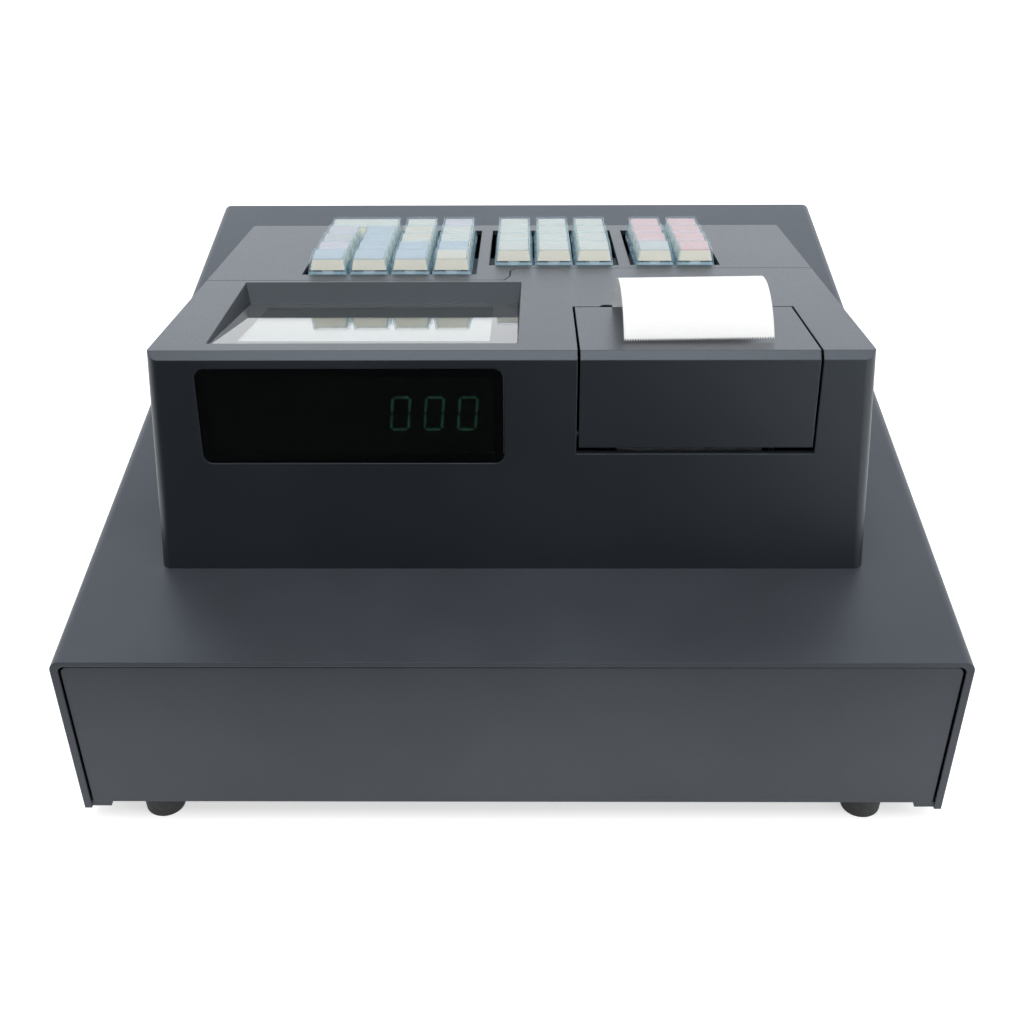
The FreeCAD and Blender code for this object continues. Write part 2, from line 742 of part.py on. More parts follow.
def receipt_strip():
    # Paper rises from the slot, curls over in one arc and rests on the cover.
    inner = paper_curl - paper_thick / 2
    outer = paper_curl + paper_thick / 2
    root_in = curl_point(0, inner)
    root_out = curl_point(0, outer)
    foot_in = V(0, root_in.y, root_in.z - paper_tail)
    foot_out = V(0, root_out.y, root_out.z - paper_tail)
    end_in = curl_point(wrap, inner)
    end_out = curl_point(wrap, outer)
    edges = [Part.makeLine(foot_in, root_in),
             Part.Arc(root_in, curl_point(wrap / 2, inner), end_in).toShape(),
             Part.makeLine(end_in, end_out),
             Part.Arc(end_out, curl_point(wrap / 2, outer), root_out).toShape(),
             Part.makeLine(root_out, foot_out),
             Part.makeLine(foot_out, foot_in)]
    strip = Part.Face(Part.Wire(edges)).extrude(V(paper_width, 0, 0))
    strip.translate(V(paper_middle - paper_width / 2, 0, 0))
    save("receipt_strip", strip)


# Printer: frame with side plates, spindle, head and tear bar

platen_y = paper_path_y - paper_thick / 2 - paper_clear - platen_radius
platen_z = deck_z(platen_y) - platen_depth
roll_y = platen_y - roll_behind
roll_z = platen_z - roll_below
plate_left = paper_middle - paper_width / 2 - side_plate_gap
plate_right = paper_middle + paper_width / 2 + side_plate_gap
printer_low = cabinet_top + base_plate


def printer_mechanism():
    plate_front = roll_y - roll_radius - roll_clear
    plate_rear = paper_path_y + print_head_depth
    plate_high = deck_z(plate_rear, housing_wall) - sliding_gap
    outline = [(plate_front, printer_low), (plate_rear, printer_low), (plate_rear, plate_high),
               (platen_y - platen_radius, plate_high), (roll_y, roll_z + 3 * roll_bore),
               (plate_front, roll_z)]
    floor = block(plate_left - side_plate, plate_right + side_plate, plate_front, plate_rear, printer_low,
                  printer_low + side_plate)
    frame = floor
    for x0 in (plate_left - side_plate, plate_right):
        frame = frame.fuse(across(outline, x0, x0 + side_plate))
    frame = frame.fuse(rod(plate_left, plate_right, roll_y, roll_z, roll_bore - running_gap))
    head_near = paper_path_y + paper_thick / 2 + paper_clear
    head_top = platen_z + print_head_high
    head = block(plate_left, plate_right, head_near, plate_rear - side_plate,
                 platen_z - print_head_low, head_top)
    tear_bar = block(plate_left, plate_right, head_near, head_near + side_plate / 2, head_top, plate_high)
    frame = frame.fuse(head).fuse(tear_bar).removeSplitter()
    frame = frame.cut(rod(plate_left - 2 * side_plate, plate_right + 2 * side_plate, platen_y, platen_z,
                          platen_shaft + running_gap))
    save("printer_mechanism", frame)


def platen_roller():
    roller = rod(plate_left + platen_end_gap, plate_right - platen_end_gap, platen_y, platen_z, platen_radius)
    reach = side_plate + shaft_proud
    shaft = rod(plate_left - reach, plate_right + reach, platen_y, platen_z, platen_shaft)
    save("platen_roller", roller.fuse(shaft).removeSplitter())


def paper_roll():
    left = paper_middle - paper_width / 2
    roll = rod(left, left + paper_width, roll_y, roll_z, roll_radius)
    core = rod(left, left + paper_width, roll_y, roll_z, roll_core)
    bore = rod(left - over, left + paper_width + over, roll_y, roll_z, roll_bore)
    save("paper_roll", roll.cut(core), core.cut(bore))


# Inside the housing: base, boards and switches


def head_base():
    room = housing_solid(housing_wall + seam_gap, cabinet_top - over)
    layer = block(-half_width, half_width, -half_depth, half_depth, cabinet_top, cabinet_top + base_plate)
    base = room.common(layer)
    for dx in (-1, 1):
        for dy in (-1, 1):
            x = main_board_x + dx * (main_board_half - standoff_radius)
            y = main_board_y + dy * (main_board_half_depth - standoff_radius)
            standoff = Part.makeCylinder(standoff_radius, base_plate + standoff_height, V(x, y, cabinet_top))
            base = base.fuse(standoff)
    save("head_base", base.removeSplitter())


def circuit_boards():
    low = cabinet_top + base_plate + standoff_height
    top = low + board_thick
    board = block(main_board_x - main_board_half, main_board_x + main_board_half,
                  main_board_y - main_board_half_depth, main_board_y + main_board_half_depth, low, top)
    main = board
    for x0, x1, y0, y1, high in board_blocks:
        main = main.fuse(block(main_board_x + x0, main_board_x + x1, main_board_y + y0, main_board_y + y1, top,
                               top + high))
    capacitor = Part.makeCylinder(capacitor_radius, capacitor_height,
                                  V(main_board_x + capacitor_x, main_board_y + capacitor_y, top))
    main = main.fuse(capacitor).removeSplitter()
    ledge = window_ledge / 2
    customer = block(window_left + ledge, window_right - ledge, housing_wall, housing_wall + display_box_depth,
                     window_low + ledge, window_high - ledge)
    near_depth = recess_near_depth + glass_thick + recess_wall
    far_depth = recess_far_depth + glass_thick + recess_wall
    fall = (far_depth - near_depth) / (recess_foot + recess_wall - recess_near + recess_wall)
    s0 = recess_near + glass_ledge / 2
    s1 = recess_foot - glass_ledge / 2
    d0 = near_depth + (s0 - recess_near + recess_wall) * fall
    d1 = near_depth + (s1 - recess_near + recess_wall) * fall
    module = [(s0, -d0), (s0, -d0 - display_box_depth), (s1, -d1 - display_box_depth), (s1, -d1)]
    operator = on_deck(across(module, recess_left + glass_ledge / 2, recess_right - glass_ledge / 2))
    save("circuit_boards", main, on_rear_face(customer), operator)


def key_places():
    # Column, row and width in pitches of every key, nearest row first.
    places = []
    for row in range(left_rows):
        for column in range(left_columns):
            if row == left_rows - 1 and column < 2:
                continue
            places.append((column, row, 1))
    places.append((0.5, left_rows - 1, 2))
    for row in range(1, block_rows + 1):
        places += [(middle_first + column, row, 1) for column in range(middle_columns)]
        places += [(right_first + column, row, 1) for column in range(right_columns)]
    return places


def frustum(width, depth, low, high, taper):
    # A block with its four sides leaning in by the taper over its height.
    shape = Part.makeWedge(-width / 2, low, -depth / 2, -depth / 2 + taper, -width / 2 + taper,
                           width / 2, high, depth / 2, depth / 2 - taper, width / 2 - taper)
    shape.rotate(V(0, 0, 0), V(1, 0, 0), 90)
    return shape


def cut_top(shape, lower):
    # Cuts a cap with the tilted plane of the key tops, moved down by the given distance.
    half = key_base / 2 - key_taper
    rise = (key_far_height - key_near_height) / (2 * half)
    middle = (key_far_height + key_near_height) / 2 - lower
    reach = key_base
    plane = [(-reach, middle - reach * rise), (reach, middle + reach * rise), (reach, middle + 4 * key_base),
             (-reach, middle + 4 * key_base)]
    return shape.cut(across(plane, -4 * key_pitch, 4 * key_pitch))


def key_at(column, row, width):
    # Clear cap over a coloured insert that stands on the switch's stem.
    wide = key_base + (width - 1) * key_pitch
    high = key_far_height + key_wall
    total = high + key_drop
    taper = key_taper * total / (key_near_height + key_drop)
    cap = cut_top(frustum(wide, key_base, -key_drop, high, taper), 0.0)
    hollow = frustum(wide - 2 * key_wall, key_base - 2 * key_wall, -key_drop, high, taper)
    cap = cap.cut(cut_top(hollow, key_wall))
    gap = key_wall + key_insert_gap
    insert = cut_top(frustum(wide - 2 * gap, key_base - 2 * gap, -key_drop, high, taper), gap)
    below = block(-wide, wide, -key_base, key_base, -2 * key_drop, key_insert_lift)
    insert = insert.cut(below)
    stem = block(-stem_width / 2, stem_width / 2, -stem_width / 2, stem_width / 2, -stem_depth, key_insert_lift)
    bridge = block(-wide / 2 + 2 * key_wall, wide / 2 - 2 * key_wall, -stem_width / 4, stem_width / 4,
                   key_insert_lift - key_wall, key_insert_lift)
    stem = stem.fuse(bridge).removeSplitter()
    x = first_column + column * key_pitch
    s = first_row + row * key_pitch
    solids = []
    for solid in (cap, insert, stem):
        solid.translate(V(x, s, 0))
        solids.append(on_deck(solid))
    return solids


def keys():
    for number, (column, row, width) in enumerate(key_places(), 1):
        save("key_%02d" % number, *key_at(column, row, width))


def switch_plate():
    board = block(board_left, board_right, board_near, board_far, -switch_board_depth - switch_board_thick,
                  -switch_board_depth)
    solids = [on_deck(board)]
    for column, row, width in key_places():
        x = first_column + column * key_pitch
        s = first_row + row * key_pitch
        half = switch_size / 2
        hole = stem_width / 2 + stem_gap
        body = block(x - half, x + half, s - half, s + half, -switch_board_depth,
                     -switch_board_depth + switch_height)
        pocket = block(x - hole, x + hole, s - hole, s + hole, -switch_board_depth + switch_floor, 0)
        solids.append(on_deck(body.cut(pocket)))
    save("switch_plate", *solids)


cabinet_cover()
cabinet_base()
rubber_feet()
drawer_pan()
drawer_front()
drawer_lock()
cash_tray()
note_holder()
latch_solenoid()
latch_hook()
head_base()
top_cover()
keyboard_panel()
display_windows()
printer_cover()
receipt_strip()
printer_mechanism()
platen_roller()
paper_roll()
circuit_boards()
switch_plate()
keys()
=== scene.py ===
import math

import bmesh
import bpy
from mathutils import Matrix, Vector


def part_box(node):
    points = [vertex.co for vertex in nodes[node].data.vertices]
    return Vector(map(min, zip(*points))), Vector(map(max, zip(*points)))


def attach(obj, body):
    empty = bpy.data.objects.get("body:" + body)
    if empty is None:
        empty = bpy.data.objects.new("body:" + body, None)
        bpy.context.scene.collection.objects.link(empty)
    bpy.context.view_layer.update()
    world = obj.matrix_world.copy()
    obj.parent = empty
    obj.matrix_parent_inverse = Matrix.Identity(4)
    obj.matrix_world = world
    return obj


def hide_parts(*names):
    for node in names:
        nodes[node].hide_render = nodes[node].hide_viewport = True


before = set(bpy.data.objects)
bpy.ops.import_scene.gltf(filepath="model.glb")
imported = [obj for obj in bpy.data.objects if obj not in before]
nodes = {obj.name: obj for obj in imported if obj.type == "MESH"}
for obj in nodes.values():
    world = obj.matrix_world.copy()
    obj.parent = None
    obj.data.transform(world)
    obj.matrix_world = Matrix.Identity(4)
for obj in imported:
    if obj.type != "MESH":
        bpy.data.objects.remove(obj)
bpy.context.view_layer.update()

# Camera
# It stands on the customer's side and looks down on the register, as the photograph does.
# Its place, tilt and focal length come from the cabinet's corners, for a square picture.
photo_width_px = 1024
focal_px = 1460.1
camera_place = Vector((0.0056, -0.6106, 0.4625))
camera_down = math.radians(36.48)
camera_yaw = math.radians(-0.66)
camera_roll = math.radians(0.41)

camera_data = bpy.data.cameras.new("camera")
camera_data.sensor_width = 36.0
camera_data.lens = camera_data.sensor_width * focal_px / photo_width_px
camera = bpy.data.objects.new("camera", camera_data)
bpy.context.scene.collection.objects.link(camera)
camera.matrix_world = (
    Matrix.Translation(camera_place)
    @ Matrix.Rotation(-camera_yaw, 4, "Z")
    @ Matrix.Rotation(math.pi / 2 - camera_down, 4, "X")
    @ Matrix.Rotation(-camera_roll, 4, "Z")
)
bpy.context.scene.camera = camera
bpy.context.scene.view_settings.view_transform = "Standard"

# Floor
# A white table top that runs out past the picture. The camera and every reflection see it nearly
# burnt out, with only the soft shadow under the register.
floor_half = 3.0
floor_white = "#d9d9d9"
floor_glow = 0.6


def linear(colour):
    # A "#rrggbb" colour as the linear values that Blender works in.
    parts = [int(colour[i:i + 2], 16) / 255 for i in (1, 3, 5)]
    return tuple(c / 12.92 if c <= 0.04045 else ((c + 0.055) / 1.055) ** 2.4 for c in parts) + (1.0,)


def add(tree, kind, values=None, links=None, **settings):
    # One node with its settings, its sockets' values and the sockets that feed it.
    made = tree.nodes.new("ShaderNode" + kind)
    for name, setting in settings.items():
        setattr(made, name, setting)
    for name, value in (values or {}).items():
        made.inputs[name].default_value = value
    for name, source in (links or {}).items():
        tree.links.new(source, made.inputs[name])
    return made


def new_material(name):
    # A new material and its empty node tree.
    material = bpy.data.materials.new(name)
    material.use_nodes = True
    material.node_tree.nodes.clear()
    return material, material.node_tree


def show(tree, shader):
    # Ends a material's nodes with the shader that it shows.
    add(tree, "OutputMaterial", links={"Surface": shader.outputs[0]})


def seen_rays(tree):
    # One for the rays that show the background: straight from the camera, mirrored or through glass.
    rays = add(tree, "LightPath")
    mirrored = add(tree, "Math", links={0: rays.outputs["Is Camera Ray"], 1: rays.outputs["Is Glossy Ray"]},
                   operation="MAXIMUM")
    through = add(tree, "Math", links={0: mirrored.outputs[0], 1: rays.outputs["Is Transmission Ray"]},
                  operation="MAXIMUM")
    return through.outputs[0]


white_table, tree = new_material("white_table")
diffuse = add(tree, "BsdfDiffuse", {"Color": linear(floor_white)})
glow = add(tree, "Emission", {"Color": (1, 1, 1, 1), "Strength": floor_glow})
bright = add(tree, "AddShader", links={0: diffuse.outputs[0], 1: glow.outputs[0]})
shown = add(tree, "MixShader", links={0: seen_rays(tree), 1: diffuse.outputs[0], 2: bright.outputs[0]})
show(tree, shown)

bpy.ops.object.select_all(action="DESELECT")
bpy.ops.mesh.primitive_grid_add(x_subdivisions=8, y_subdivisions=8, size=2 * floor_half)
floor = bpy.context.object
floor.name = "floor"
floor.data.materials.append(white_table)

# Dark cards
# Two matt dark cards outside the picture, one flat on the table in front of the register and one
# upright behind the camera, both open to the right. The upright faces mirror them, which keeps
# them dark. They are seen in mirrors only, and cast no shadow.
card_near = -0.30
card_far = -1.3
card_left = -1.3
card_right = 0.22
card_lift = 0.001
card_high = 1.25
card_black = "#2a2a2a"

black_card, tree = new_material("black_card")
card_matt = add(tree, "BsdfDiffuse", {"Color": linear(card_black)})
show(tree, card_matt)

card_middle = (card_left + card_right) / 2
for name, place, tilt, depth in (
        ("flat_card", (card_middle, (card_near + card_far) / 2, card_lift), 0.0, card_near - card_far),
        ("upright_card", (card_middle, card_far, card_high / 2 + card_lift), math.pi / 2, card_high)):
    bpy.ops.object.select_all(action="DESELECT")
    bpy.ops.mesh.primitive_grid_add(x_subdivisions=4, y_subdivisions=4, size=1.0, location=place)
    card = bpy.context.object
    card.name = name
    card.scale = (card_right - card_left, depth, 1.0)
    card.rotation_euler = (tilt, 0, 0)
    card.data.materials.append(black_card)
    card.visible_camera = False
    card.visible_diffuse = False
    card.visible_transmission = False
    card.visible_shadow = False

# World and lamps
# A white studio, brighter behind the register than where the photographer stands. A long low light
# box stands behind it, a soft box hangs over the camera, and a small lamp stands on the right.
sky_back = 1.1
sky_front = 0.30
sky_turn = (-0.35, 0.30)

world = bpy.data.worlds.new("light_tent")
bpy.context.scene.world = world
world.use_nodes = True
tree = world.node_tree
tree.nodes.clear()
direction = add(tree, "TexCoord")
axes = add(tree, "SeparateXYZ", links={0: direction.outputs["Generated"]})
strength = add(tree, "MapRange", {"From Min": sky_turn[0], "From Max": sky_turn[1], "To Min": sky_front,
                                  "To Max": sky_back}, {"Value": axes.outputs["Y"]})
tent = add(tree, "Background", {"Color": (1, 1, 1, 1)}, {"Strength": strength.outputs[0]})
plain = add(tree, "Background", {"Color": (1, 1, 1, 1), "Strength": 1.0})
seen = add(tree, "MixShader", links={0: seen_rays(tree), 1: tent.outputs[0], 2: plain.outputs[0]})
add(tree, "OutputWorld", links={"Surface": seen.outputs[0]})

lamps = [
    ("side_lamp", (0.85, -0.55, 0.45), (0.5, 0.5), 2.5, "#ffffff"),
    ("soft_box", (0.0, -0.50, 1.45), (1.1, 1.1), 14.0, "#ffffff"),
    ("light_box", (0.0, 2.0, 0.75), (4.2, 1.3), 14.0, "#d6e8ff"),
]
for name, place, size, power, colour in lamps:
    data = bpy.data.lights.new(name, "AREA")
    data.shape = "RECTANGLE"
    data.size, data.size_y = size
    data.energy = power
    data.color = linear(colour)[:3]
    lamp = bpy.data.objects.new(name, data)
    bpy.context.scene.collection.objects.link(lamp)
    lamp.location = place
    lamp.visible_camera = False
    lamp.rotation_euler = (-Vector(place)).to_track_quat("-Z", "Y").to_euler()

# Cabinet cover and base
# Sheet steel, folded and powder coated in anthracite, and the drawer's front with it. The coat has
# a fine orange-peel grain that breaks up its reflections, and it runs round the folds in a small
# radius.
coat_colour = "#2f3237"
coat_colour_light = "#35383e"
coat_sheen = (0.78, 0.89, 1.0, 1.0)
coat_grain = 0.0011
coat_cloud = 0.060
edge_radius = 0.0006


def noise(tree, size, detail, more=None):
    # Noise in the piece's own coordinates, with marks of the given size.
    place = add(tree, "TexCoord").outputs["Object"]
    values = {"Scale": 1 / size, "Detail": detail, **(more or {})}
    return add(tree, "TexNoise", values, {"Vector": place}).outputs["Fac"]


def two_tone(tree, factor, low, dark, high, light):
    # A colour that goes from dark to light while the factor goes from low to high.
    made = add(tree, "ValToRGB", links={0: factor})
    for stop, position, tone in zip(made.color_ramp.elements, (low, high), (dark, light)):
        stop.position = position
        stop.color = linear(tone)
    return made


def soften(tree, radius, height, depth, strength):
    # A bump of the given height map on edges that are rounded by a small radius.
    edge = add(tree, "Bevel", {"Radius": radius}, samples=4)
    return add(tree, "Bump", {"Distance": depth, "Strength": strength},
               {"Height": height, "Normal": edge.outputs[0]})


def on_solids(material, *names):
    # Gives CAD nodes whose shape stays their finish.
    for name in names:
        nodes[name].data.materials.clear()
        nodes[name].data.materials.append(material)


powder_coat, tree = new_material("powder_coated_steel")
grain = noise(tree, coat_grain, 3.0, {"Roughness": 0.6})
cloud = noise(tree, coat_cloud, 2.0)
colour = two_tone(tree, cloud, 0.35, coat_colour, 0.65, coat_colour_light)
rough = add(tree, "MapRange", {"From Min": 0.3, "From Max": 0.7, "To Min": 0.36, "To Max": 0.46},
            {"Value": grain})
bump = soften(tree, edge_radius, grain, depth=0.00012, strength=0.35)
surface = add(tree, "BsdfPrincipled", {"IOR": 1.5, "Specular Tint": coat_sheen},
              {"Base Color": colour.outputs[0], "Roughness": rough.outputs[0], "Normal": bump.outputs[0]})
show(tree, surface)
on_solids(powder_coat, "cabinet_cover", "cabinet_base", "drawer_front")

# Rubber feet and platen roller
# Four round moulded feet, and the roller that pulls the paper. Black rubber, dull, with a slight
# bloom.
foot_black = "#1f2022"
foot_bloom = 0.0025

rubber, tree = new_material("moulded_rubber")
bloom = noise(tree, foot_bloom, 3.0)
rough = add(tree, "MapRange", {"To Min": 0.6, "To Max": 0.85}, {"Value": bloom})
bump = soften(tree, edge_radius, bloom, depth=0.0001, strength=0.3)
surface = add(tree, "BsdfPrincipled", {"Base Color": linear(foot_black), "IOR": 1.52},
              {"Roughness": rough.outputs[0], "Normal": bump.outputs[0]})
show(tree, surface)
on_solids(rubber, "rubber_feet", "platen_roller")

# Drawer pan, latch and printer frame
# Zinc-plated sheet steel, left bright, with the faint streaks of rolled sheet.
zinc_grey = "#b4b7ba"
roll_streak = 0.0015
streak_stretch = 0.04

zinc, tree = new_material("zinc_plated_steel")
place = add(tree, "TexCoord").outputs["Object"]
long_way = add(tree, "Mapping", {"Scale": (1.0, streak_stretch, 1.0)}, {"Vector": place})
streaks = add(tree, "TexNoise", {"Scale": 1 / roll_streak, "Detail": 4.0}, {"Vector": long_way.outputs[0]})
rough = add(tree, "MapRange", {"To Min": 0.28, "To Max": 0.48}, {"Value": streaks.outputs["Fac"]})
bump = soften(tree, edge_radius / 2, streaks.outputs["Fac"], depth=0.00004, strength=0.2)
surface = add(tree, "BsdfPrincipled", {"Base Color": linear(zinc_grey), "Metallic": 1.0},
              {"Roughness": rough.outputs[0], "Normal": bump.outputs[0]})
show(tree, surface)
on_solids(zinc, "drawer_pan", "latch_solenoid", "latch_hook", "printer_mechanism")

# Drawer lock
# A turned brass barrel with bright chrome plating.
lock_chrome = "#d8dadc"
lock_haze = 0.002

chrome, tree = new_material("chrome_plated_brass")
haze = noise(tree, lock_haze, 2.0)
rough = add(tree, "MapRange", {"To Min": 0.05, "To Max": 0.16}, {"Value": haze})
bump = soften(tree, edge_radius / 2, haze, depth=0.00001, strength=0.1)
surface = add(tree, "BsdfPrincipled", {"Base Color": linear(lock_chrome), "Metallic": 1.0},
              {"Roughness": rough.outputs[0], "Normal": bump.outputs[0]})
show(tree, surface)
on_solids(chrome, "drawer_lock")

# Cash tray, note holder and the hidden mouldings
# Black ABS, injection moulded, with the fine even texture of a spark-eroded tool.
tray_black = "#222325"
tray_grain = 0.0009

black_abs, tree = new_material("black_abs")
grain = noise(tree, tray_grain, 3.0)
rough = add(tree, "MapRange", {"To Min": 0.42, "To Max": 0.58}, {"Value": grain})
bump = soften(tree, edge_radius, grain, depth=0.0001, strength=0.3)
surface = add(tree, "BsdfPrincipled", {"Base Color": linear(tray_black), "IOR": 1.54},
              {"Roughness": rough.outputs[0], "Normal": bump.outputs[0]})
show(tree, surface)
on_solids(black_abs, "cash_tray", "note_holder", "head_base")

# Circuit boards
# Glass-fibre board with green solder mask and copper tracks that show as paler lines.
board_green = "#1d5a3a"
track_green = "#2f7a50"
track_scale = 40.0

board, tree = new_material("solder_masked_board")
place = add(tree, "TexCoord").outputs["Object"]
tracks = add(tree, "TexWave", {"Scale": track_scale, "Distortion": 6.0, "Detail": 1.0}, {"Vector": place})
colour = two_tone(tree, tracks.outputs["Fac"], 0.55, board_green, 0.65, track_green)
bump = soften(tree, edge_radius / 2, tracks.outputs["Fac"], depth=0.00003, strength=0.3)
surface = add(tree, "BsdfPrincipled", {"Roughness": 0.3, "IOR": 1.55},
              {"Base Color": colour.outputs[0], "Normal": bump.outputs[0]})
show(tree, surface)
on_solids(board, "circuit_boards")

# Housing: top cover, keyboard panel and printer cover
# Anthracite ABS, moulded in a fine spark-eroded texture. It is satin: dark face on, and pale
# where it is seen at a low angle, because the texture's peaks reflect the bright room.
abs_colour = "#1d2126"
abs_colour_light = "#22262b"
abs_sheen = (0.80, 0.90, 1.0, 1.0)
abs_grain = 0.0008
abs_cloud = 0.070

anthracite_abs, tree = new_material("anthracite_abs")
grain = noise(tree, abs_grain, 3.0, {"Roughness": 0.6})
cloud = noise(tree, abs_cloud, 2.0)
colour = two_tone(tree, cloud, 0.35, abs_colour, 0.65, abs_colour_light)
rough = add(tree, "MapRange", {"From Min": 0.3, "From Max": 0.7, "To Min": 0.34, "To Max": 0.42},
            {"Value": grain})
bump = soften(tree, edge_radius, grain, depth=0.00008, strength=0.25)
surface = add(tree, "BsdfPrincipled", {"IOR": 1.54, "Specular Tint": abs_sheen},
              {"Base Color": colour.outputs[0], "Roughness": rough.outputs[0], "Normal": bump.outputs[0]})
show(tree, surface)
on_solids(anthracite_abs, "top_cover", "keyboard_panel", "printer_cover")

# Customer window
# A plate of smoked acrylic set flush in the leaning rear face. It is polished, almost black, and
# the lit figures of the display shine dimly through it.
housing_lean = math.radians(7.0)
housing_foot = Vector((0.0, -0.1456, 0.090))
window_low = Vector((-0.1204, 0.0002, 0.0484))
window_high = Vector((-0.0026, 0.0017, 0.0886))
window_corner = 0.0039
window_edge = 0.00025
smoke = "#2b3032"
window_wipe = 0.018
aligned = 0.9
on_rear_face = Matrix.Translation(housing_foot) @ Matrix.Rotation(-housing_lean, 4, "X")


def start_box(name, low, high):
    # A cube stretched between two corners, alone in the selection.
    bpy.ops.object.select_all(action="DESELECT")
    bpy.ops.mesh.primitive_cube_add(size=1.0, location=(low + high) / 2)
    made = bpy.context.object
    made.name = name
    made.scale = high - low
    bpy.ops.object.transform_apply(location=True, rotation=True, scale=True)
    return made


def choose(kind, test):
    # Selects the edges or faces of the open mesh that pass a test, and nothing else.
    bpy.ops.mesh.select_mode(type=kind)
    bpy.ops.mesh.select_all(action="DESELECT")
    mesh = bmesh.from_edit_mesh(bpy.context.edit_object.data)
    for item in mesh.edges if kind == "EDGE" else mesh.faces:
        if test(item):
            item.select_set(True)
    mesh.select_flush_mode()


def runs_along(axis):
    # A test for edges that run along the given axis of the mesh.
    def test(edge):
        run = edge.verts[1].co - edge.verts[0].co
        return abs(run[axis]) > aligned * run.length
    return test


def round_edges(axis, offset, segments):
    # Rounds the edges of the active box that run along an axis.
    bpy.ops.object.mode_set(mode="EDIT")
    choose("EDGE", runs_along(axis))
    bpy.ops.mesh.bevel(offset=offset, segments=segments, affect="EDGES")
    bpy.ops.object.mode_set(mode="OBJECT")


def settle(piece, place, body, slot, *materials):
    # Moves a finished mesh to its place, gives it its finish and lets it ride.
    piece.data.transform(place)
    for material in materials:
        piece.data.materials.append(material)
    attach(piece, body)


smoked_acrylic, tree = new_material("smoked_acrylic")
wipe = noise(tree, window_wipe, 4.0, {"Distortion": 1.5})
rough = add(tree, "MapRange", {"From Min": 0.45, "From Max": 0.8, "To Min": 0.0, "To Max": 0.05},
            {"Value": wipe})
surface = add(tree, "BsdfPrincipled",
              {"Base Color": linear(smoke), "IOR": 1.49, "Transmission Weight": 1.0},
              {"Roughness": rough.outputs[0]})
show(tree, surface)

window = start_box("customer_window", window_low, window_high)
bpy.ops.object.mode_set(mode="EDIT")
choose("EDGE", runs_along(1))
bpy.ops.mesh.bevel(offset=window_corner, segments=8, affect="EDGES")
choose("FACE", lambda face: face.normal.y < -aligned)
bpy.ops.mesh.bevel(offset=window_edge, segments=2, affect="EDGES")
bpy.ops.object.mode_set(mode="OBJECT")
settle(window, on_rear_face, "cabinet", "window", smoked_acrylic)
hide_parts("display_windows")

# Customer figures
# Three plain zeros of six light bars each, lit a dim green. They sit on the display close behind
# the window.
figure_first = -0.0459
figure_pitch = 0.01295
figure_count = 3
figure_width = 0.0067
figure_middle = 0.0692
figure_half = 0.0068
figure_slant = math.radians(5.0)
bar_wide = 0.0010
bar_gap = 0.0004
bar_thick = 0.0002
bar_depth = 0.0021
bar_corner = 0.45 * bar_wide
segment_green = "#7fd6a0"
segment_dark = "#10251a"
segment_patch = 0.004
segment_power = (0.8, 1.6)

green_segment, tree = new_material("lit_green_segment")
uneven = noise(tree, segment_patch, 1.0)
power = add(tree, "MapRange", {"From Min": 0.3, "From Max": 0.7, "To Min": segment_power[0],
                               "To Max": segment_power[1]}, {"Value": uneven})
surface = add(tree, "BsdfPrincipled", {"Base Color": linear(segment_dark), "Roughness": 0.5,
                                       "Emission Color": linear(segment_green)},
              {"Emission Strength": power.outputs[0]})
show(tree, surface)

bars = []
for figure in range(figure_count):
    left = figure_first + figure * figure_pitch
    middle = left + figure_width / 2
    for sx, sz in ((0, -1), (0, 1), (-1, -0.5), (1, -0.5), (-1, 0.5), (1, 0.5)):
        upright = sx != 0
        length = (figure_half if upright else figure_width) - 2 * bar_gap
        half = Vector((bar_wide if upright else length, bar_thick, length if upright else bar_wide)) / 2
        bar = start_box("bar", -half, half)
        round_edges(1, bar_corner, 1)
        z = sz * figure_half
        x = sx * figure_width / 2 + z * math.tan(figure_slant)
        turn = Matrix.Rotation(figure_slant if upright else 0.0, 4, "Y")
        bar.data.transform(Matrix.Translation((middle + x, bar_depth, figure_middle + z)) @ turn)
        bars.append(bar)
bpy.ops.object.select_all(action="DESELECT")
for bar in bars:
    bar.select_set(True)
bpy.context.view_layer.objects.active = bars[0]
bpy.ops.object.join()
figures = bpy.context.object
figures.name = "customer_figures"
settle(figures, on_rear_face, "cabinet", "window", green_segment)

# Operator display
# A clear glass lens over a liquid-crystal module, set deeper at its far end. Its border is
# printed grey on the inside, and the module behind it adds a reflection of its own.
deck_slope = math.radians(14.57)
deck_start = Vector((0.0, -0.1311775, 0.18396))
glass_near = 0.0100
glass_far = 0.1038
glass_left = -0.11685
glass_right = 0.0024
glass_depth_near = 0.0008
glass_depth_far = 0.0074
glass_thick = 0.0020
glass_corner = 0.0015
border_left = 0.0095
border_right = 0.0108
border_near = 0.0098
border_far = 0.0090
ink_lift = 0.0001
module_gap = 0.0004
module_tuck = 0.001
module_corner = 0.0005
glass_tint = "#f4faf8"
border_grey = "#5a5d60"
module_grey = "#35393a"
module_grey_light = "#3b4040"
glass_wipe = 0.02
ink_mesh = 0.001
film_cell = 0.003
on_deck = Matrix.Translation(deck_start) @ Matrix.Rotation(-deck_slope, 4, "X")
glass_fall = math.atan2(glass_depth_far - glass_depth_near, glass_far - glass_near)
glass_start = Matrix.Translation((0, glass_near, -glass_depth_near))
in_recess = on_deck @ glass_start @ Matrix.Rotation(-glass_fall, 4, "X")
glass_length = (glass_far - glass_near) / math.cos(glass_fall)
clear_left = glass_left + border_left
clear_right = glass_right - border_right
clear_far = glass_length - border_far

